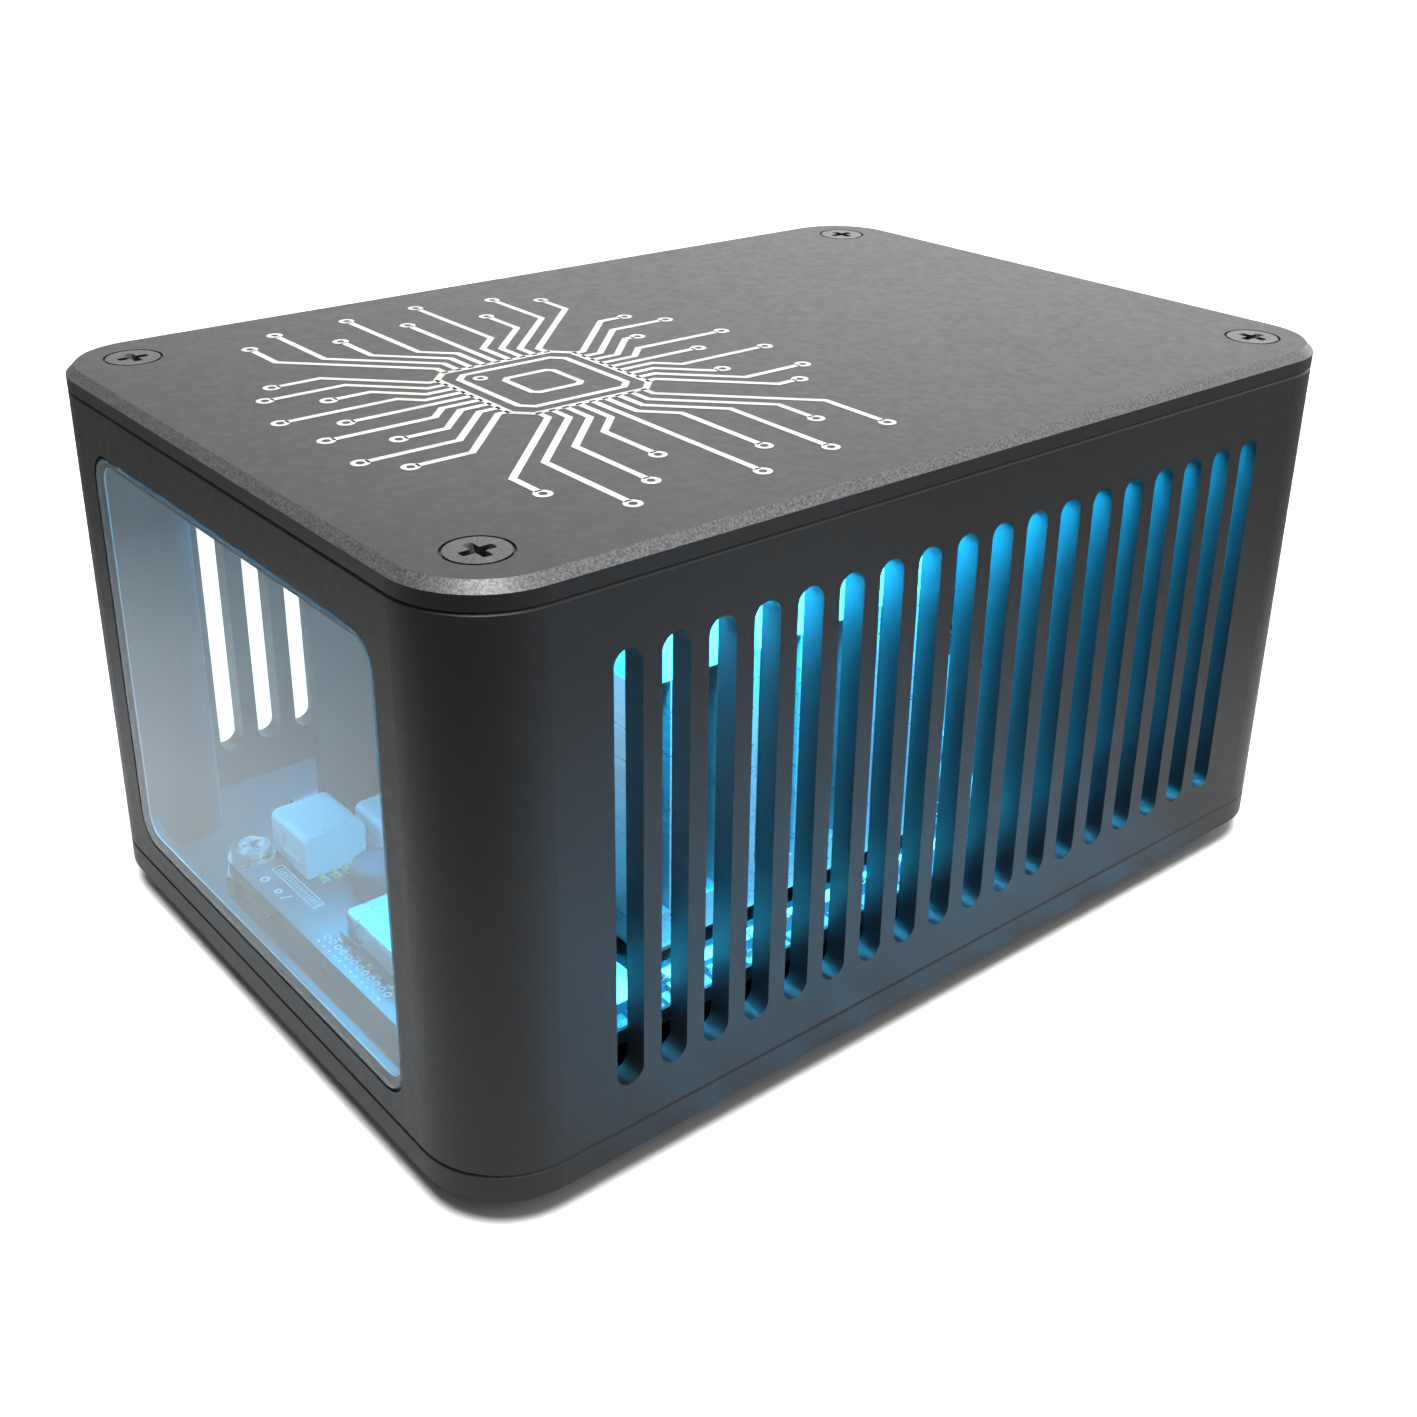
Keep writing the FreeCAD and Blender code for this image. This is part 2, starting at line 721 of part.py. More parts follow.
def strip_led(x, y):
    body = centred(x, y, lid_bottom - tape_thick - led_thick, led_size, led_size, led_thick)
    return body.makeChamfer(0.3, straight_edges(body, UP))


save("light_strip_right", strip_tape(-1))
save("light_strip_left", strip_tape(1))
save("light_strip_leds", *[strip_led(led_first + index * led_pitch, side * strip_middle)
                           for side in (-1, 1) for index in range(led_count)])

lead_level = lid_bottom - 0.9
inner_edge = strip_middle - strip_width / 2
link_route = [(44.5, -inner_edge, lead_level), (44.5, -23.0, lead_level), (46.0, -10.0, lead_level),
              (46.0, 10.0, lead_level), (44.5, 23.0, lead_level), (44.5, inner_edge, lead_level)]
strip_route = [(40.0, inner_edge, lead_level), (40.0, 24.6, lead_level), (40.0, 23.6, 45.0),
               (39.4, 20.6, 31.0), (36.0, 7.8, 24.0), (36.0, 7.8, board_top)]
save("light_strip_link", lead("light_strip_link", link_route, 0.7))
save("light_strip_lead", lead("light_strip_lead", strip_route, 0.7))


# ---- service buttons on the board ---------------------------------------------------------

switch_size = 6.0
switch_height = 3.5
switch_travel = 0.25
button_radius = 1.7
button_stand = 1.4
switches = {"reset_button": (14.0, -31.2), "boot_button": (23.0, -31.2)}


def switch_body(x, y):
    body = centred(x, y, board_top, switch_size, switch_size, switch_height)
    body = body.makeFillet(0.5, straight_edges(body, UP))
    well = rod(button_radius + 0.08, x, y, board_top + switch_height - 1.2, 2.0)
    return body.cut(well)


def switch_button(x, y):
    low = board_top + switch_height - 1.2 + switch_travel + 0.1
    stem = rod(button_radius, x, y, low, board_top + switch_height + button_stand - low)
    return stem.makeFillet(0.3, level_edges(stem, board_top + switch_height + button_stand))


save("switch_bodies", *[switch_body(x, y) for x, y in switches.values()])
for name, (x, y) in switches.items():
    save(name, switch_button(x, y))


# ---- ports --------------------------------------------------------------------------------

sheet = 0.3
stack_depth = 21.4
stack_width = 16.0
stack_height = 29.1
stack_y = -15.4
usb_openings = (4.4, 12.1)
usb_width = 12.5
usb_height = 5.12
jack_bottom = 16.9
jack_width = 11.7
jack_height = 8.3
jack_latch = (6.2, 2.0)
video_y = -1.05
video_size = (7.5, 6.9, 3.2)
usb_c_y = 9.8
usb_c_size = (7.4, 8.94, 3.2)
button_y = 17.5
button_z = 33.0


def mouth(y, low, width, height, depth):
    """The space of one opening, from the port's face inwards."""
    return block(port_face - depth, port_face + 1, y - width / 2, y + width / 2, low, low + height)


def stack_mouths(depths):
    """The openings of the stacked sockets: two flat ones below a jack with a catch notch."""
    usb_depth, jack_depth = depths
    spaces = []
    for middle in usb_openings:
        spaces.append(mouth(stack_y, board_top + middle - usb_height / 2, usb_width, usb_height, usb_depth))
    low = board_top + jack_bottom
    spaces.append(mouth(stack_y, low, jack_width, jack_height, jack_depth))
    spaces.append(mouth(stack_y, low + jack_height - 0.1, jack_latch[0], jack_latch[1] + 0.1, jack_depth))
    return spaces


def port_stack():
    """The pressed shell and the moulding inside it, which carries two flat tongues."""
    half = stack_width / 2
    back = port_face - stack_depth
    outside = block(back, port_face, stack_y - half, stack_y + half, board_top, board_top + stack_height)
    inside = block(back + sheet, port_face - sheet, stack_y - half + sheet, stack_y + half - sheet,
                   board_top + sheet, board_top + stack_height - sheet)
    shell = outside.cut([inside] + stack_mouths((1, 1)))
    moulding = inside.cut(stack_mouths((10.0, 13.0)))
    tongues = [block(port_face - 10.2, port_face - 1.2, stack_y - 5.55, stack_y + 5.55,
                     board_top + middle + 0.2, board_top + middle + 2.0) for middle in usb_openings]
    return shell, moulding.multiFuse(tongues)


def small_port(y, size, corner, tongue_size):
    """A pressed tube shell closed at its back, and the tongue inside it."""
    depth, width, height = size
    back = port_face - depth
    outside = rounded(back, port_face, y - width / 2, y + width / 2, board_top, board_top + height, corner, X)
    hollow = rounded(back + 1.0, port_face + 1, y - width / 2 + sheet, y + width / 2 - sheet,
                     board_top + sheet, board_top + height - sheet, corner - sheet, X)
    length, breadth, thick = tongue_size
    middle = board_top + height / 2
    tongue = block(back + 1.0, back + 1.0 + length, y - breadth / 2, y + breadth / 2,
                   middle - thick / 2, middle + thick / 2)
    return outside.cut(hollow), tongue


stack_shell, stack_moulding = port_stack()
video_shell, video_tongue = small_port(video_y, video_size, 0.8, (5.0, 4.6, 0.8))
usb_c_shell, usb_c_tongue = small_port(usb_c_y, usb_c_size, 1.55, (5.2, 6.7, 0.7))
save("port_stack_shell", stack_shell)
save("port_stack_moulding", stack_moulding)
save("video_port_shell", video_shell)
save("video_port_tongue", video_tongue)
save("usb_c_shell", usb_c_shell)
save("usb_c_tongue", usb_c_tongue)


# ---- port panel ---------------------------------------------------------------------------

def port_panel():
    """A plate behind the rear opening, cut to clear each port and the power button."""
    gap = 0.25
    plate = rounded(panel_back, panel_face, -28.8, 28.8, 7.0, 55.5, 2.0, X)
    cuts = []
    for y, size, corner in ((stack_y, (0, stack_width, stack_height), 0.6),
                            (video_y, video_size, 0.9), (usb_c_y, usb_c_size, 1.7)):
        cuts.append(rounded(panel_back - 1, panel_face + 1, y - size[1] / 2 - gap, y + size[1] / 2 + gap,
                            board_top - gap, board_top + size[2] + gap, corner, X))
    cuts.append(rod(4.1, panel_back - 1, button_y, button_z, panel_thick + 2, X))
    for y, z in panel_screws:
        cuts.append(rod(m2[1], panel_back - 1, y, z, panel_thick + 2, X))
    return plate.cut(cuts)


panel_screw = countersunk_screw(m2, wall + panel_thick)
save("rear_panel", port_panel())
save("rear_panel_screws", *[moved(panel_screw, half_length, y, z, 90) for y, z in panel_screws])


# ---- power button -------------------------------------------------------------------------

button_travel = 1.0
barrel_radius = 4.0
barrel_back = 45.5
flange_thick = 1.1
guide_end = 48.5
cap_radius = 2.92
cap_back = 53.5
cap_stand = 0.8
spring_radius = 2.1
spring_wire = 0.25


def button_housing():
    """A threaded barrel with a flange, bored for the cap and its stem."""
    flange_face = panel_face + flange_thick
    barrel = rod(barrel_radius, barrel_back, button_y, button_z, flange_face - barrel_back, X)
    flange = rod(5.2, panel_face, button_y, button_z, flange_thick, X)
    body = barrel.fuse(flange).removeSplitter()
    bore = rod(cap_radius + 0.08, guide_end, button_y, button_z, 20, X)
    guide = rod(1.28, barrel_back + 1.0, button_y, button_z, 5, X)
    return body.cut([bore, guide])


def button_nut():
    radius = 5.0 / math.cos(math.pi / 6)
    points = []
    for step in range(7):
        turn = math.radians(60 * step)
        points.append(Vector(panel_back - 2.2, button_y + radius * math.sin(turn),
                             button_z + radius * math.cos(turn)))
    body = Part.Face(Part.makePolygon(points)).extrude(Vector(2.2, 0, 0))
    return body.cut(rod(barrel_radius, panel_back - 3, button_y, button_z, 5, X))


def button_cap():
    face = panel_face + flange_thick + cap_stand
    head = rod(cap_radius, cap_back, button_y, button_z, face - cap_back, X)
    rim = [edge for edge in head.Edges if edge.BoundBox.XMin > face - 0.01]
    head = head.makeFillet(0.35, rim)
    stem = rod(1.2, barrel_back + 1.0 + button_travel + 0.3, button_y, button_z, 6.2, X)
    return head.fuse(stem).removeSplitter()


def button_spring():
    """An open coil between the housing's shoulder and the cap."""
    height = cap_back - guide_end - 2 * spring_wire
    path = Part.makeHelix(height / 5, height, spring_radius)
    section = Part.Wire(Part.makeCircle(spring_wire, Vector(spring_radius, 0, 0), Y))
    coil = Part.Wire(path).makePipeShell([section], True, True)
    return moved(coil, guide_end + spring_wire, button_y, button_z, 90)


save("power_button_housing", button_housing())
save("power_button_nut", button_nut())
save("power_button_cap", button_cap())
save("power_button_spring", button_spring())

button_route = [(barrel_back, button_y, button_z), (39.0, button_y, button_z), (34.0, 14.2, 24.5),
                (33.8, 9.2, 19.5), (33.8, 9.2, board_top)]
save("power_button_lead", lead("power_button_lead", button_route, 0.7))
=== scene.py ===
import json
import math
import random

import bmesh
import bpy
from mathutils import Matrix, Vector


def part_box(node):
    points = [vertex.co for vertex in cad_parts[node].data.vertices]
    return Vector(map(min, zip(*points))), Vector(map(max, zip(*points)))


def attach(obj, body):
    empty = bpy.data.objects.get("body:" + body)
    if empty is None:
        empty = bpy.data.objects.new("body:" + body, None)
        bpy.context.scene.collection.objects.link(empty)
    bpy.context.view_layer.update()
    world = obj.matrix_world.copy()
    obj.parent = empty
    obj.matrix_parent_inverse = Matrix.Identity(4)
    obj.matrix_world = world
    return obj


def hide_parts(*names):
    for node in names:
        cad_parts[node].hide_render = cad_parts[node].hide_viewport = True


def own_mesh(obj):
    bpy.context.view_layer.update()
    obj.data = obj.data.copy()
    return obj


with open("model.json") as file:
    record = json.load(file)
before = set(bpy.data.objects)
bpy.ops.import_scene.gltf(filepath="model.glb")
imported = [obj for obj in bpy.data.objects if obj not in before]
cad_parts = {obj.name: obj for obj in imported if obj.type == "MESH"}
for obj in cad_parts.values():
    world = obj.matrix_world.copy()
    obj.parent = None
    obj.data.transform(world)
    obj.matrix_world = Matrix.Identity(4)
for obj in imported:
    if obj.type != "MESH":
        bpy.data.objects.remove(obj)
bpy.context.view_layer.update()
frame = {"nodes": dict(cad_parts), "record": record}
nodes = frame["nodes"]
MM = 0.001


# ---- frame facts used below, in millimetres -----------------------------------------------

spans = {}


def span(node):
    """(lowest corner, highest corner) of a CAD node in millimetres."""
    if node not in spans:
        low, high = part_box(node)
        spans[node] = (Vector(low) / MM, Vector(high) / MM)
    return spans[node]


lid_high = span("top_plate")[1]
board_low, board_high = span("circuit_board")
case_top = lid_high.z
board_top = board_high.z


# ---- camera -------------------------------------------------------------------------------

camera_place = (-116.8, -139.7, 113.9)
camera_turn = (0.8798, -0.4164, 0.0128)


def add_camera():
    """A camera with a slight roll and a shifted frame. Its place is in millimetres."""
    yaw, pitch, roll = camera_turn
    forward = Vector((math.cos(pitch) * math.cos(yaw), math.cos(pitch) * math.sin(yaw),
                      math.sin(pitch)))
    level = Vector((math.sin(yaw), -math.cos(yaw), 0))
    rise = level.cross(forward)
    right = level * math.cos(roll) + rise * math.sin(roll)
    up = rise * math.cos(roll) - level * math.sin(roll)
    turn = Matrix((right, up, -forward)).transposed().to_4x4()
    data = bpy.data.cameras.new("camera")
    data.sensor_width = 36.0
    data.lens = 43.43
    data.shift_x = 0.0062
    data.shift_y = -0.0826
    data.clip_start = 0.01
    data.clip_end = 50.0
    camera = bpy.data.objects.new("camera", data)
    camera.matrix_world = Matrix.Translation(Vector(camera_place) * MM) @ turn
    bpy.context.collection.objects.link(camera)
    bpy.context.scene.camera = camera


add_camera()
bpy.context.scene.view_settings.view_transform = "Standard"


# ---- shader helpers -----------------------------------------------------------------------

class Shader:
    """A node material with a Principled shader and short ways to add nodes to it."""

    def __init__(self, name, color, roughness, metallic=0.0, **sockets):
        self.material = bpy.data.materials.new(name)
        self.material.use_nodes = True
        self.tree = self.material.node_tree
        self.bsdf = self.tree.nodes["Principled BSDF"]
        self.set("Base Color", (*color, 1.0))
        self.set("Roughness", roughness)
        self.set("Metallic", metallic)
        self.base = color
        self.rough = roughness
        self.bump_end = None
        for key, value in sockets.items():
            self.set(key.replace("_", " "), value)

    def set(self, socket, value):
        self.bsdf.inputs[socket].default_value = value

    def node(self, kind, **values):
        made = self.tree.nodes.new(kind)
        for key, value in values.items():
            if key in made.inputs:
                made.inputs[key].default_value = value
            else:
                setattr(made, key, value)
        return made

    def link(self, start, end):
        self.tree.links.new(start, end)

    def place(self):
        """The point in the row frame, which is each CAD node's own space."""
        return self.node("ShaderNodeTexCoord").outputs["Object"]

    def math(self, operation, first, second=None, clamp=False):
        made = self.node("ShaderNodeMath", operation=operation, use_clamp=clamp)
        for index, value in enumerate((first, second)):
            if value is None:
                continue
            if isinstance(value, (int, float)):
                made.inputs[index].default_value = value
            else:
                self.link(value, made.inputs[index])
        return made.outputs[0]

    def noise(self, scale, detail=2.0, stretch=None, rough=0.5):
        made = self.node("ShaderNodeTexNoise", Scale=scale, Detail=detail, Roughness=rough)
        where = self.place()
        if stretch:
            bend = self.node("ShaderNodeMapping")
            bend.inputs["Scale"].default_value = stretch
            self.link(where, bend.inputs["Vector"])
            where = bend.outputs[0]
        self.link(where, made.inputs["Vector"])
        return made.outputs["Fac"]

    def spread(self, value, low, high, to_low=0.0, to_high=1.0):
        made = self.node("ShaderNodeMapRange")
        made.inputs["From Min"].default_value = low
        made.inputs["From Max"].default_value = high
        made.inputs["To Min"].default_value = to_low
        made.inputs["To Max"].default_value = to_high
        self.link(value, made.inputs["Value"])
        return made.outputs[0]

    def blend(self, amount, first, second):
        made = self.node("ShaderNodeMix", data_type="RGBA")
        self.link(amount, made.inputs["Factor"])
        for socket, value in zip((made.inputs[6], made.inputs[7]), (first, second)):
            if isinstance(value, tuple):
                socket.default_value = (*value, 1.0)
            else:
                self.link(value, socket)
        return made.outputs[2]

    def color(self, value):
        self.link(value, self.bsdf.inputs["Base Color"])

    def roughness(self, value):
        self.link(value, self.bsdf.inputs["Roughness"])

    def bump(self, height, strength, depth):
        made = self.node("ShaderNodeBump", Strength=strength, Distance=depth)
        self.link(height, made.inputs["Height"])
        if self.bump_end is not None:
            self.link(self.bump_end, made.inputs["Normal"])
        self.bump_end = made.outputs["Normal"]
        self.link(self.bump_end, self.bsdf.inputs["Normal"])

    def mottle(self, scale, amount):
        """Uneven tone: the base colour drifts up and down by a share of itself."""
        dark = tuple(c * (1 - amount) for c in self.base)
        light = tuple(min(1.0, c * (1 + amount)) for c in self.base)
        self.color(self.blend(self.spread(self.noise(scale, 3.0), 0.3, 0.7), dark, light))

    def uneven_gloss(self, scale, amount):
        self.roughness(self.spread(self.noise(scale, 3.0), 0.25, 0.75,
                                   max(0.02, self.rough - amount), self.rough + amount))


def grained(name, color, roughness, metallic=0.0, grain=2500.0, depth=0.00002, mottle=0.08,
            strength=0.3, **sockets):
    """A surface with fine grain, drifting tone and uneven gloss."""
    made = Shader(name, color, roughness, metallic, **sockets)
    made.mottle(180.0, mottle)
    made.uneven_gloss(420.0, min(0.08, roughness * 0.25))
    made.bump(made.noise(grain, 3.0), strength, depth)
    return made


# ---- materials ----------------------------------------------------------------------------

def anodised():
    """Blasted and dyed aluminium: fine grain with paler specks painted in as glints, and paler machined
    edges.
    """
    made = Shader("anodised", (0.006, 0.006, 0.0065), 0.42, IOR=1.4)
    grain = made.noise(4200.0, 4.0, rough=0.65)
    coarse = made.noise(900.0, 2.0)
    # The brightest specks of the grain are lifted in colour as painted glints.
    painted_glints = made.spread(grain, 0.60, 0.78)
    tone = made.blend(made.spread(made.noise(45.0, 3.0), 0.35, 0.65), (0.0045, 0.0045, 0.005),
                      (0.0075, 0.0075, 0.008))
    tone = made.blend(made.math("MULTIPLY", painted_glints, 0.3), tone, (0.07, 0.07, 0.07))
    facing = made.node("ShaderNodeSeparateXYZ")
    made.link(made.node("ShaderNodeNewGeometry").outputs["True Normal"], facing.inputs[0])
    off_slope = made.math("ABSOLUTE", made.math("SUBTRACT", facing.outputs[2], math.sqrt(0.5)))
    height = made.node("ShaderNodeSeparateXYZ")
    made.link(made.place(), height.inputs[0])
    at_top = made.math("GREATER_THAN", height.outputs[2], (case_top - 1.5) * MM)
    bevel = made.math("MULTIPLY", made.spread(off_slope, 0.12, 0.2, 1.0, 0.0), at_top)
    cut_tone = made.blend(made.spread(grain, 0.35, 0.65), (0.05, 0.05, 0.052), (0.15, 0.15, 0.155))
    made.color(made.blend(bevel, tone, cut_tone))
    made.link(made.math("MULTIPLY", bevel, 0.4), made.bsdf.inputs["Metallic"])
    made.roughness(made.spread(coarse, 0.3, 0.7, 0.39, 0.45))
    made.bump(coarse, 0.04, 0.00003)
    made.bump(grain, 0.22, 0.00002)
    return made.material


def screw_steel():
    """Blackened screws: fine scratches that run out from the middle of each head."""
    made = Shader("screw_steel", (0.08, 0.08, 0.0825), 0.36, 0.9)
    split = made.node("ShaderNodeSeparateXYZ")
    made.link(made.place(), split.inputs[0])
    inset = 7.35
    away_x = made.math("SUBTRACT", made.math("ABSOLUTE", split.outputs[0]),
                       (lid_high.x - inset) * MM)
    away_y = made.math("SUBTRACT", made.math("ABSOLUTE", split.outputs[1]),
                       (lid_high.y - inset) * MM)
    angle = made.math("ARCTAN2", away_y, away_x)
    ray = made.node("ShaderNodeTexNoise", Scale=1.0, Detail=4.0, Roughness=0.7)
    mixed = made.node("ShaderNodeCombineXYZ")
    made.link(made.math("MULTIPLY", angle, 26.0), mixed.inputs[0])
    made.link(made.math("MULTIPLY", made.noise(500.0), 0.8), mixed.inputs[1])
    made.link(mixed.outputs[0], ray.inputs["Vector"])
    lines = made.spread(ray.outputs["Fac"], 0.35, 0.7)
    made.color(made.blend(lines, (0.025, 0.025, 0.0275), (0.12, 0.12, 0.117)))
    made.bump(lines, 0.35, 0.00004)
    made.bump(made.noise(3000.0, 3.0), 0.15, 0.00002)
    return made.material


def clear_acrylic():
    """A faintly blue, slightly hazy sheet."""
    made = Shader("clear_acrylic", (0.74, 0.94, 1.0), 0.0, IOR=1.38, Transmission_Weight=0.92)
    made.bump(made.noise(60.0, 1.0), 0.02, 0.00002)
    return made.material


def board_mask():
    """Black solder mask over copper: buried tracks show as slightly raised, slightly paler lines."""
    made = Shader("board_mask", (0.012, 0.016, 0.02), 0.32, IOR=1.5)
    brick = made.node("ShaderNodeTexBrick", Scale=420.0, offset=0.5)
    brick.inputs["Mortar Size"].default_value = 0.06
    brick.inputs["Color1"].default_value = (0, 0, 0, 1)
    brick.inputs["Color2"].default_value = (0.25, 0.25, 0.25, 1)
    brick.inputs["Mortar"].default_value = (1, 1, 1, 1)
    made.link(made.place(), brick.inputs["Vector"])
    zones = made.spread(made.noise(110.0, 1.0), 0.48, 0.52)
    tracks = made.math("MULTIPLY", brick.outputs["Fac"], zones)
    made.color(made.blend(tracks, (0.010, 0.013, 0.016), (0.03, 0.038, 0.045)))
    made.bump(tracks, 0.3, 0.00003)
    made.bump(made.noise(1600.0, 2.0), 0.12, 0.00002)
    return made.material


def lit_lens():
    """Light packages: the window in their lower face shines, and their pale sides glow a little."""
    made = Shader("lit_lens", (0.7, 0.9, 0.95), 0.3, Emission_Strength=1150.0)
    facing = made.node("ShaderNodeSeparateXYZ")
    made.link(made.node("ShaderNodeNewGeometry").outputs["True Normal"], facing.inputs[0])
    downward = made.spread(facing.outputs[2], -0.95, -0.6, 1.0, 0.0)
    glow = made.blend(downward, (0.0005, 0.012, 0.022), (0.012, 0.5, 1.0))
    made.link(glow, made.bsdf.inputs["Emission Color"])
    made.bump(made.noise(900.0), 0.2, 0.00003)
    return made.material


def heat_sink():
    """Extruded aluminium with draw lines along the fins."""
    made = Shader("heat_sink", (0.62, 0.63, 0.64), 0.34, 0.85)
    lines = made.noise(2600.0, 3.0, stretch=(1.0, 0.02, 1.0))
    made.color(made.blend(lines, (0.50, 0.51, 0.52), (0.74, 0.75, 0.76)))
    made.roughness(made.spread(lines, 0.3, 0.7, 0.26, 0.42))
    made.bump(lines, 0.3, 0.00003)
    return made.material


def strip_tape():
    """White tape with paired copper pads between the lit packages."""
    made = Shader("strip_tape", (0.78, 0.78, 0.75), 0.5)
    wave = made.node("ShaderNodeTexWave", Scale=33.0, Distortion=0.0)
    made.link(made.place(), wave.inputs["Vector"])
    pads = made.spread(wave.outputs["Fac"], 0.93, 0.95)
    made.color(made.blend(pads, (0.78, 0.78, 0.75), (0.66, 0.42, 0.2)))
    made.bump(made.noise(1200.0), 0.2, 0.00003)
    return made.material


def winding():
    """Enamelled wire in level turns, with painted shade between the turns and painted highlights along
    the wire tops.
    """
    made = Shader("winding", (0.45, 0.16, 0.05), 0.35, 0.8)
    painted_turn_shade = made.node("ShaderNodeTexWave", Scale=420.0, Distortion=1.0, bands_direction="Z")
    made.link(made.place(), painted_turn_shade.inputs["Vector"])
    # Dark bands are painted shade between the turns, pale bands painted highlights on the wire tops.
    made.color(made.blend(painted_turn_shade.outputs["Fac"], (0.22, 0.07, 0.02), (0.62, 0.26, 0.09)))
    made.bump(painted_turn_shade.outputs["Fac"], 0.7, 0.0001)
    return made.material


finishes = {
    "anodised": anodised(),
    "screw_steel": screw_steel(),
    "clear_acrylic": clear_acrylic(),
    "adhesive": grained("adhesive", (0.55, 0.58, 0.60), 0.5, grain=1500.0).material,
    "rubber": grained("rubber", (0.018, 0.018, 0.018), 0.75, grain=1800.0, depth=0.00005).material,
    "board": board_mask(),
    "steel": grained("steel", (0.55, 0.55, 0.53), 0.28, 1.0, mottle=0.15).material,
    "shield": grained("shield", (0.66, 0.66, 0.63), 0.30, 1.0, mottle=0.10, strength=0.2).material,
    "black_plastic": grained("black_plastic", (0.02, 0.02, 0.022), 0.45).material,
    "white_plastic": grained("white_plastic", (0.90, 0.90, 0.87), 0.38, mottle=0.05).material,
    "package": grained("package", (0.022, 0.022, 0.024), 0.5, grain=3500.0).material,
    "pad": grained("pad", (0.45, 0.55, 0.62), 0.8, grain=1500.0, depth=0.00006).material,
    "gold": grained("gold", (0.85, 0.58, 0.20), 0.25, 1.0).material,
    "ferrite": grained("ferrite", (0.07, 0.07, 0.072), 0.7, grain=2200.0, depth=0.00006).material,
    "can": grained("can", (0.70, 0.70, 0.71), 0.3, 0.95).material,
    "led_lens": grained("led_lens", (0.75, 0.85, 0.82), 0.25).material,
    "sink": heat_sink(),
    "fan_plastic": grained("fan_plastic", (0.02, 0.02, 0.021), 0.36, grain=2000.0).material,
    "frosted_plastic": grained("frosted_plastic", (0.66, 0.68, 0.70), 0.34, grain=1500.0,
                               mottle=0.05).material,
    "copper": winding(),
    "bronze": grained("bronze", (0.50, 0.30, 0.12), 0.4, 1.0, depth=0.00004).material,
    "strip_tape": strip_tape(),
    "light": lit_lens(),
    "lead_black": grained("lead_black", (0.015, 0.015, 0.016), 0.5, grain=1400.0).material,
    "switch_plastic": grained("switch_plastic", (0.03, 0.03, 0.032), 0.42).material,
    "button_plastic": grained("button_plastic", (0.62, 0.62, 0.60), 0.42).material,
    "nickel": grained("nickel", (0.46, 0.445, 0.42), 0.30, 1.0, mottle=0.12).material,
    "spring_steel": grained("spring_steel", (0.50, 0.50, 0.52), 0.28, 1.0).material,
}
for part in frame["record"]["subparts"]:
    mesh = nodes[part["node"]].data
    mesh.materials.clear()
    mesh.materials.append(finishes[part["material_slot"]])

silk_white = grained("silk_white", (0.80, 0.81, 0.80), 0.55, grain=3000.0, mottle=0.10).material
laser_white = grained("laser_white", (0.48, 0.48, 0.455), 0.48, 0.15, grain=5200.0, depth=0.00004,
                      mottle=0.22, strength=0.6).material
tinned = grained("tinned", (0.68, 0.68, 0.66), 0.25, 1.0, mottle=0.12).material
ceramic_tan = grained("ceramic_tan", (0.42, 0.30, 0.19), 0.5).material


# ---- mesh helpers -------------------------------------------------------------------------

def piece(name, mesh_maker, material, body="computer"):
    """A new mesh object, in metres, that rides on a body."""
    mesh = bpy.data.meshes.new(name)
    form = bmesh.new()
    mesh_maker(form)
    bmesh.ops.recalc_face_normals(form, faces=form.faces)
    form.to_mesh(mesh)
    form.free()
    mesh.materials.append(material)
    made = bpy.data.objects.new(name, mesh)
    bpy.context.collection.objects.link(made)
    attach(made, body)
    return made


def slab(form, x0, x1, y0, y1, z0, z1, bevel=0.0):
    """A block in millimetres whose upper edges may be bevelled."""
    corners = []
    for z, inset in ((z0, 0.0), (z1 - bevel, 0.0), (z1, bevel)) if bevel else ((z0, 0.0), (z1, 0.0)):
        ring = [form.verts.new(Vector(p) * MM) for p in
                ((x0 + inset, y0 + inset, z), (x1 - inset, y0 + inset, z),
                 (x1 - inset, y1 - inset, z), (x0 + inset, y1 - inset, z))]
        corners.append(ring)
    form.faces.new(corners[0][::-1])
    form.faces.new(corners[-1])
    for lower, upper in zip(corners, corners[1:]):
        for k in range(4):
            form.faces.new((lower[k], lower[(k + 1) % 4], upper[(k + 1) % 4], upper[k]))


def ribbon(form, points, width, z, thick=0.02):
    """A flat track with mitred corners, in millimetres."""
    path = [Vector(p) for p in points]
    left, right = [], []
    for index, point in enumerate(path):
        before = path[index] - path[index - 1] if index else path[1] - path[0]
        after = path[index + 1] - path[index] if index + 1 < len(path) else before
        before, after = before.normalized(), after.normalized()
        normal = Vector((-before.y - after.y, before.x + after.x)).normalized()
        reach = width / 2 / max(0.4, normal.dot(Vector((-before.y, before.x))))
        left.append(point + normal * reach)
        right.append(point - normal * reach)
    rings = []
    for a, b in zip(left, right):
        rings.append([form.verts.new(Vector((p.x, p.y, h)) * MM)
                      for p, h in ((a, z), (b, z), (b, z + thick), (a, z + thick))])
    form.faces.new(rings[0])
    form.faces.new(rings[-1][::-1])
    for one, two in zip(rings, rings[1:]):
        for k in range(4):
            form.faces.new((one[k], one[(k + 1) % 4], two[(k + 1) % 4], two[k]))


def annulus(form, x, y, outer, inner, z, thick=0.02, steps=32):
    """A flat ring in millimetres."""
    loops = []
    for radius, height in ((inner, z), (outer, z), (outer, z + thick), (inner, z + thick)):
        loops.append([form.verts.new(Vector((x + radius * math.cos(math.tau * k / steps),
                                             y + radius * math.sin(math.tau * k / steps), height)) * MM)
                      for k in range(steps)])
    for index in range(4):
        one, two = loops[index], loops[(index + 1) % 4]
        for k in range(steps):
            form.faces.new((one[k], one[(k + 1) % steps], two[(k + 1) % steps], two[k]))


# ---- marking on the lid -------------------------------------------------------------------

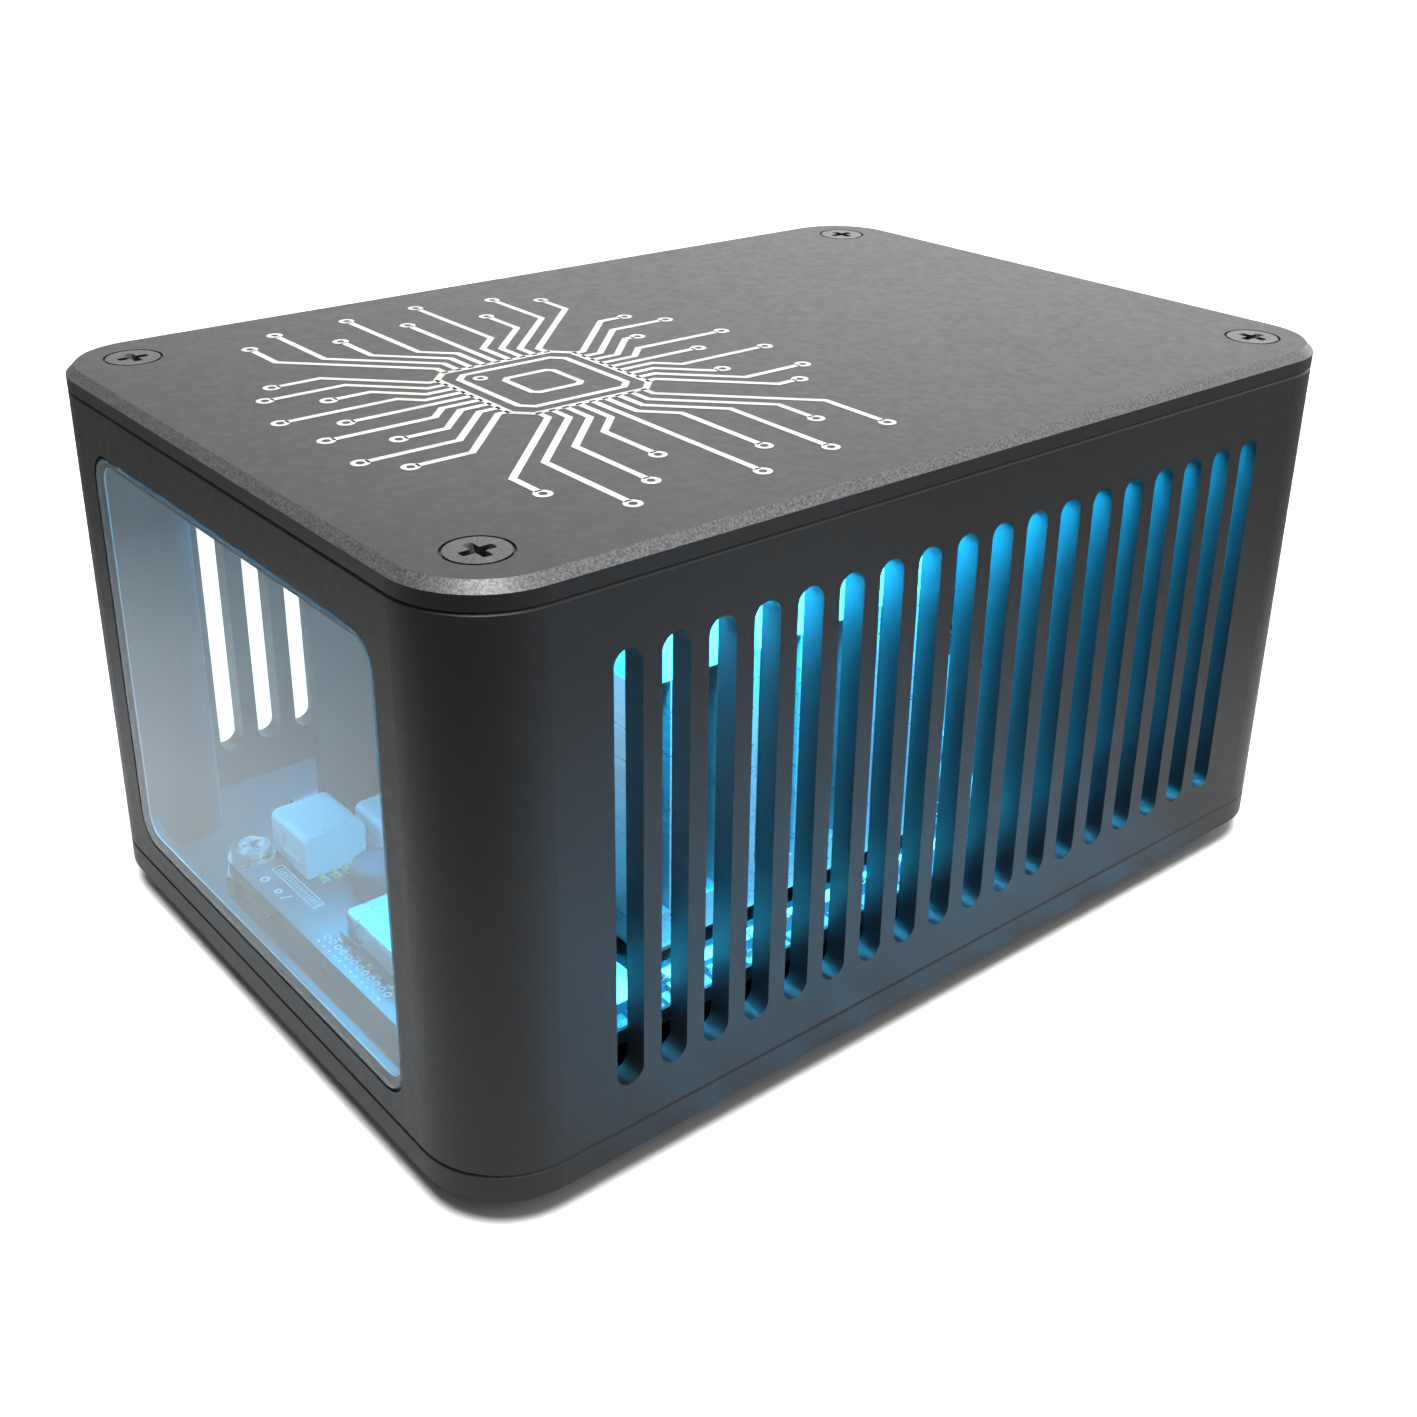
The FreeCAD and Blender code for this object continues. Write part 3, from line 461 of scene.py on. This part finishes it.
def lid_marking(form):
    """A laser-marked chip outline with bent tracks that run out to ring pads."""
    z = case_top + 0.005
    width = 0.74
    cx, cy = -22.0, 0.5

    def outline(half, corner):
        points = []
        for sx, sy in ((1, -1), (1, 1), (-1, 1), (-1, -1)):
            first = (cx + sx * half, cy + sy * (half - corner))
            second = (cx + sx * (half - corner), cy + sy * half)
            points += [first, second] if sx * sy > 0 else [second, first]
        points.append(points[0])
        middle = ((points[0][0] + points[1][0]) / 2, (points[0][1] + points[1][1]) / 2)
        ribbon(form, [middle] + points[1:] + [middle], width, z)

    outline(8.4, 1.6)
    outline(6.6, 1.2)
    outline(3.0, 0.6)
    annulus(form, cx - 4.6, cy + 4.6, 0.8, 0.35, z)

    def track(points, pad=0.9):
        """A track in the chip's own plane that ends in a ring pad."""
        end = Vector(points[-1])
        run = (end - Vector(points[-2])).normalized()
        ribbon(form, points[:-1] + [tuple(end - run * (pad * 0.7))], width, z)
        annulus(form, end.x, end.y, pad, pad * 0.45, z)

    lanes = [-6.4, -4.8, -3.2, -1.6, 0.0, 1.6, 3.2, 4.8, 6.4]
    reach_up = [29.0, 32.5, 26.0, 33.2, 27.5, 33.6, 25.5, 31.5, 28.0]
    reach_down = [26.5, 33.0, 29.5, 24.5, 33.6, 28.5, 32.5, 25.5, 30.5]
    for lane, up, down in zip(lanes, reach_up, reach_down):
        shift = lane * 1.9
        for sign, reach in ((1, up), (-1, down)):
            start = cy + sign * 8.4
            knee = cy + sign * (10.2 + (6.4 - abs(lane)) * 0.75)
            turn_end = knee + sign * abs(shift)
            track([(cx + lane, start), (cx + lane, knee), (cx + lane + shift, turn_end),
                   (cx + lane + shift, sign * reach)] if shift else
                  [(cx + lane, start), (cx + lane, sign * reach)])
    reach_left = [-46.0, -49.0, -43.0, -48.5, -44.5, -49.5, -42.5, -47.5, -45.0]
    reach_right = [-0.5, 3.4, -4.5, 4.8, -1.5, 5.0, -4.0, 3.0, 0.0]
    for lane, left, right in zip(lanes, reach_left, reach_right):
        for sign, end, spread in ((-1, left, 1.25), (1, right, 1.4)):
            shift = lane * spread
            start = cx + sign * 8.4
            knee = cx + sign * (9.6 + (6.4 - abs(lane)) * 0.7)
            track([(start, cy + lane), (knee, cy + lane), (knee + sign * abs(shift), cy + lane + shift),
                   (end, cy + lane + shift)] if shift else
                  [(start, cy + lane), (end, cy + lane)])


piece("lid_marking", lid_marking, laser_white)


# ---- board details ------------------------------------------------------------------------

def clear_of(x, y, margin):
    """True where no CAD part covers the board's top near a point in millimetres."""
    for name in nodes:
        low, high = span(name)
        if name in ("case_body", "top_plate", "bottom_plate", "window_panel", "window_adhesive",
                    "circuit_board", "rear_panel", "top_screws", "bottom_screws", "rubber_feet"):
            continue
        if low.z > board_top + 1.5 or high.z < board_top + 0.05:
            continue
        if name in GROUPS:
            continue
        if low.x - margin < x < high.x + margin and low.y - margin < y < high.y + margin:
            return False
    return all(not (x0 - margin < x < x1 + margin and y0 - margin < y < y1 + margin)
               for x0, x1, y0, y1 in KEEP_OFF)


GROUPS = ("board_screws", "standoff_screws", "heatsink_screws", "heatsink_spacers", "memory_chips",
          "support_chips", "power_inductors", "bulk_capacitors", "status_leds", "front_sockets",
          "front_contacts", "switch_bodies", "header_pins", "light_strip_leds")
KEEP_OFF = [(-33.0, 7.0, -30.6, 9.7), (-50.2, -34.0, 1.5, 12.2), (9.5, 33.2, -26.0, -9.3),
            (24.8, 32.2, -7.4, 7.1), (46.2, 47.4, 3.6, 8.8), (-55.0, -49.8, 9.0, 15.3),
            (39.0, 47.0, 8.0, 15.3), (-47.4, -39.5, -36.2, -28.0), (39.5, 47.5, -36.0, -28.4),
            (10.8, 26.2, -34.4, -28.0), (-48.0, -41.2, -4.8, 2.0), (-53.0, -33.8, -26.6, -6.6),
            (-50.4, -33.4, -33.3, -26.6), (-55.0, -50.0, -20.0, 9.5), (32.5, 37.2, 6.5, 10.4)]


def small_part_places():
    """Rows of chip resistors and capacitors wherever the board has room."""
    dice = random.Random(7)
    places = []
    x = board_low.x + 2.0
    while x < board_high.x - 2.0:
        y = board_low.y + 2.0
        while y < board_high.y - 1.0:
            px = x + dice.uniform(-0.25, 0.25)
            if dice.random() < 0.62 and clear_of(px, y, 0.9):
                places.append((px, y, dice.random() < 0.5, dice.random() < 0.55))
            y += 1.75
        x += 2.3
    return places


parts = small_part_places()


def small_bodies(which):
    def build(form):
        for x, y, along, tan in parts:
            if tan != which:
                continue
            a, b = (0.32, 0.26) if along else (0.26, 0.32)
            slab(form, x - a, x + a, y - b, y + b, board_top, board_top + 0.45, 0.05)
    return build


def small_ends(form):
    for x, y, along, _ in parts:
        for side in (-1, 1):
            if along:
                slab(form, x + side * 0.44 - 0.13, x + side * 0.44 + 0.13, y - 0.27, y + 0.27,
                     board_top, board_top + 0.47, 0.05)
            else:
                slab(form, x - 0.27, x + 0.27, y + side * 0.44 - 0.13, y + side * 0.44 + 0.13,
                     board_top, board_top + 0.47, 0.05)


piece("small_capacitors", small_bodies(True), ceramic_tan)
piece("small_resistors", small_bodies(False), finishes["package"])
piece("small_part_ends", small_ends, tinned)


def board_print(form):
    """White print: part outlines, a framed strip of ticks, rings along the front edge, bands."""
    z = board_top + 0.005
    ribbon(form, [(-52.0, 8.6), (-50.8, 8.6), (-50.8, -0.8), (-52.0, -0.8), (-52.0, 8.6)], 0.16, z)
    y = 8.0
    while y > -0.4:
        slab(form, -51.8, -51.0, y - 0.18, y, z, z + 0.02)
        y -= 0.42
    annulus(form, -53.5, 7.2, 0.55, 0.25, z, steps=16)
    annulus(form, -53.4, 4.3, 0.45, 0.2, z, steps=16)
    ribbon(form, [(-53.9, 3.0), (-52.7, 2.6)], 0.24, z)
    for k in range(12):
        y = -6.2 - 1.08 * k
        annulus(form, -53.3, y, 0.44, 0.2, z, steps=16)
        ribbon(form, [(-54.3, y - 0.2), (-54.3, y + 0.2)], 0.2, z)
    slab(form, -50.0, -34.0, -32.9, -27.0, z, z + 0.02)
    slab(form, -32.6, 8.0, -32.7, -31.2, z, z + 0.02)
    x0, x1 = -24.6, 27.4
    ribbon(form, [(x0, 9.6), (x1, 9.6), (x1, 15.0)], 0.18, z)
    ribbon(form, [(x0, 15.0), (x0, 9.6)], 0.18, z)
    for low, high in ((9.4, 17.0), (17.6, 25.2), (25.8, 33.4)):
        ribbon(form, [(low, -26.0), (high, -26.0), (high, -18.6), (low, -18.6), (low, -26.0)],
               0.16, z)
        annulus(form, (low + high) / 2, -13.0, 3.9, 3.72, z)
    for cx in (14.0, 23.0):
        ribbon(form, [(cx - 3.5, -34.7), (cx + 3.5, -34.7), (cx + 3.5, -27.7), (cx - 3.5, -27.7),
                      (cx - 3.5, -34.7)], 0.16, z)


def board_pads(form):
    """Tinned rings round the screw holes, a row of edge pads and the front socket's tails."""
    z = board_top + 0.004
    for x, y in ((-52.3, 12.6), (43.0, 11.8), (-43.3, -32.2), (43.5, -32.2)):
        annulus(form, x, y, 2.62, 1.37, z)
    x = -42.0
    while x < 8.0:
        slab(form, x, x + 1.5, -35.9, -34.2, z, z + 0.03)
        x += 2.0
    for row in range(20):
        for line in (0, 1):
            annulus(form, -24.0 + 1.27 + 2.54 * row, 12.6 - 1.27 + 2.54 * line, 0.85, 0.5,
                    board_low.z - 0.02)
    for x0, y0 in ((-48.6, 2.9), (-40.7, 0.5)):
        for k in range(4):
            slab(form, x0 + 1.4 * k - 0.45, x0 + 1.4 * k + 0.45, y0 - 0.2, y0 + 1.3, z, z + 0.05)
    for k in range(9):
        slab(form, -52.6 - 0.25, -52.6 + 0.35, -8.2 - 1.9 * k, -7.2 - 1.9 * k, z, z + 0.25, 0.05)


piece("board_print", board_print, silk_white)
piece("board_pads", board_pads, tinned)


# ---- inside the sockets -------------------------------------------------------------------

shell_low, shell_high = span("port_stack_shell")
port_face = shell_high.x
stack_y = (shell_low.y + shell_high.y) / 2
usb_middles = (4.4, 12.1)
usb_height = 5.12
tongue_rise = 0.2
jack_floor = 16.9
jack_wires = 8
jack_pitch = 1.02
strip_thick = 0.1
strip_sink = 0.01
strip_half = 0.5
strip_places = (-3.5, -1.0, 1.0, 3.5)
spring_places = (-3.2, 3.2)
fine_thick = 0.03


def bent_strip(form, y, width, line, thick):
    """A strip of one width whose middle line is a list of (x, z) points, in millimetres."""
    rings = []
    for x, z in line:
        rings.append([form.verts.new(Vector(p) * MM) for p in
                      ((x, y - width / 2, z), (x, y + width / 2, z),
                       (x, y + width / 2, z + thick), (x, y - width / 2, z + thick))])
    form.faces.new(rings[0])
    form.faces.new(rings[-1][::-1])
    for one, two in zip(rings, rings[1:]):
        for k in range(4):
            form.faces.new((one[k], one[(k + 1) % 4], two[(k + 1) % 4], two[k]))


def jack_contacts(form):
    """Eight spring wires that rise towards the back of the network socket."""
    low = board_top + jack_floor
    line = [(port_face - 1.6, low + 0.1), (port_face - 2.3, low + 0.5),
            (port_face - 9.0, low + 3.4), (port_face - 11.5, low + 3.8)]
    for k in range(jack_wires):
        bent_strip(form, stack_y + (k - (jack_wires - 1) / 2) * jack_pitch, 0.42, line, 0.3)


def usb_contacts(form):
    """Four strips under each flat tongue."""
    for middle in usb_middles:
        z = board_top + middle + tongue_rise + strip_sink - strip_thick
        for y in strip_places:
            slab(form, port_face - 9.4, port_face - 1.9, stack_y + y - strip_half,
                 stack_y + y + strip_half, z, z + strip_thick)


def usb_springs(form):
    """Pressed leaf springs on the floor of each flat socket."""
    for middle in usb_middles:
        z = board_top + middle - usb_height / 2
        for y in spring_places:
            line = [(port_face - 0.5, z + 0.02), (port_face - 2.0, z + 0.62),
                    (port_face - 6.0, z + 0.1)]
            bent_strip(form, stack_y + y, 2.0, line, 0.16)


def small_port_contacts(form):
    """Fine strips on both faces of the two small tongues."""
    for node, pitch, count in (("usb_c_tongue", 0.5, 12), ("video_port_tongue", 0.4, 10)):
        low, high = span(node)
        middle = (low.y + high.y) / 2
        for k in range(count):
            y = middle + (k - (count - 1) / 2) * pitch
            for z in (low.z - fine_thick, high.z):
                slab(form, low.x + 0.6, high.x - 0.7, y - pitch * 0.3, y + pitch * 0.3,
                     z, z + fine_thick)


piece("jack_contacts", jack_contacts, finishes["gold"])
piece("usb_contacts", usb_contacts, finishes["gold"])
piece("usb_springs", usb_springs, finishes["nickel"])
piece("small_port_contacts", small_port_contacts, finishes["gold"])


# ---- power button spring ------------------------------------------------------------------

spring_low, spring_high = span("power_button_spring")
spring_wire = 0.25
spring_turns = 5
turn_steps = 32
wire_sides = 8


def coil(form):
    """An open coil about the button's axis, of round wire with closed ends."""
    radius = (spring_high.z - spring_low.z) / 2 - spring_wire
    y = (spring_low.y + spring_high.y) / 2
    z = (spring_low.z + spring_high.z) / 2
    start = spring_low.x + spring_wire
    length = spring_high.x - spring_low.x - 2 * spring_wire
    steps = spring_turns * turn_steps
    rings = []
    for k in range(steps + 1):
        turn = math.tau * k / turn_steps
        outward = Vector((0, math.cos(turn), math.sin(turn)))
        middle = Vector((start + length * k / steps, y, z)) + outward * radius
        ring = []
        for side in range(wire_sides):
            angle = math.tau * side / wire_sides
            offset = outward * math.cos(angle) + Vector((1, 0, 0)) * math.sin(angle)
            ring.append(form.verts.new((middle + offset * spring_wire) * MM))
        rings.append(ring)
    form.faces.new(rings[0])
    form.faces.new(rings[-1][::-1])
    for one, two in zip(rings, rings[1:]):
        for k in range(wire_sides):
            form.faces.new((one[k], one[(k + 1) % wire_sides], two[(k + 1) % wire_sides], two[k]))


button_coil = piece("button_coil", coil, finishes["spring_steel"])
for face in button_coil.data.polygons:
    face.use_smooth = True
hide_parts("power_button_spring")
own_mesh(button_coil)


# ---- floor and light ----------------------------------------------------------------------

def reflected(shader):
    """1 for a ray that has already bounced off a surface, 0 for one straight from the eye."""
    path = shader.node("ShaderNodeLightPath")
    bounces = shader.math("ADD", path.outputs["Glossy Depth"], path.outputs["Diffuse Depth"])
    return shader.math("MINIMUM", bounces, 1.0)


def add_floor():
    """A pale floor. In reflections it is painted grey, with painted shade that darkens it further from
    the object.
    """
    made = Shader("floor_white", (0.90, 0.90, 0.90), 0.6)
    reach = made.node("ShaderNodeVectorMath", operation="LENGTH")
    made.link(made.place(), reach.inputs[0])
    away = made.spread(reach.outputs["Value"], 0.09, 0.18)
    # Painted shade: in reflections the floor turns grey and darker with distance, standing in for light
    # falling off.
    painted_floor_shade = made.blend(away, (0.50, 0.50, 0.50), (0.09, 0.09, 0.09))
    made.color(made.blend(reflected(made), (0.90, 0.90, 0.90), painted_floor_shade))
    made.bump(made.noise(300.0, 3.0), 0.05, 0.00001)
    mesh = bpy.data.meshes.new("floor")
    form = bmesh.new()
    bmesh.ops.create_circle(form, cap_ends=True, radius=6.0, segments=96)
    form.to_mesh(mesh)
    form.free()
    mesh.materials.append(made.material)
    floor = bpy.data.objects.new("floor", mesh)
    bpy.context.collection.objects.link(floor)


def add_world():
    """Soft white studio light, brightest over the port end and dim behind the window end."""
    world = bpy.data.worlds.new("studio")
    bpy.context.scene.world = world
    world.use_nodes = True
    tree = world.node_tree
    back = tree.nodes["Background"]
    where = tree.nodes.new("ShaderNodeTexCoord")
    toward = tree.nodes.new("ShaderNodeVectorMath")
    toward.operation = "DOT_PRODUCT"
    toward.inputs[1].default_value = Vector((0.75, -0.15, 0.65)).normalized()
    tree.links.new(where.outputs["Generated"], toward.inputs[0])
    shade = tree.nodes.new("ShaderNodeMapRange")
    shade.inputs["From Min"].default_value = -0.15
    shade.inputs["From Max"].default_value = 0.55
    shade.inputs["To Min"].default_value = 0.06
    shade.inputs["To Max"].default_value = 2.1
    tree.links.new(toward.outputs["Value"], shade.inputs["Value"])
    split = tree.nodes.new("ShaderNodeSeparateXYZ")
    tree.links.new(where.outputs["Generated"], split.inputs[0])
    lower = tree.nodes.new("ShaderNodeMapRange")
    lower.inputs["From Min"].default_value = 0.15
    lower.inputs["From Max"].default_value = 0.45
    lower.inputs["To Min"].default_value = 1.15
    lower.inputs["To Max"].default_value = 0.75
    tree.links.new(split.outputs["Z"], lower.inputs["Value"])
    soft = tree.nodes.new("ShaderNodeMath")
    soft.operation = "MULTIPLY"
    tree.links.new(shade.outputs[0], soft.inputs[0])
    tree.links.new(lower.outputs[0], soft.inputs[1])
    path = tree.nodes.new("ShaderNodeLightPath")
    bounces = tree.nodes.new("ShaderNodeMath")
    bounces.operation = "ADD"
    tree.links.new(path.outputs["Glossy Depth"], bounces.inputs[0])
    tree.links.new(path.outputs["Diffuse Depth"], bounces.inputs[1])
    pick = tree.nodes.new("ShaderNodeMix")
    pick.data_type = "FLOAT"
    pick.clamp_factor = True
    tree.links.new(bounces.outputs[0], pick.inputs["Factor"])
    pick.inputs[2].default_value = 1.3
    tree.links.new(soft.outputs[0], pick.inputs[3])
    indoors = tree.nodes.new("ShaderNodeMath")
    indoors.operation = "MULTIPLY_ADD"
    tree.links.new(path.outputs["Is Diffuse Ray"], indoors.inputs[0])
    indoors.inputs[1].default_value = -0.6
    indoors.inputs[2].default_value = 1.0
    level = tree.nodes.new("ShaderNodeMath")
    level.operation = "MULTIPLY"
    tree.links.new(pick.outputs[0], level.inputs[0])
    tree.links.new(indoors.outputs[0], level.inputs[1])
    tree.links.new(level.outputs[0], back.inputs["Strength"])
    back.inputs["Color"].default_value = (1.0, 1.0, 1.0, 1.0)


def add_overhead():
    """A wide soft light straight above, which keeps the floor pale and the contact shadow small."""
    data = bpy.data.lights.new("overhead", "SUN")
    data.energy = 5.6
    data.angle = math.radians(35.0)
    light = bpy.data.objects.new("overhead", data)
    light.rotation_euler = (math.radians(6.0), math.radians(-4.0), 0)
    bpy.context.collection.objects.link(light)


add_floor()
add_world()
add_overhead()
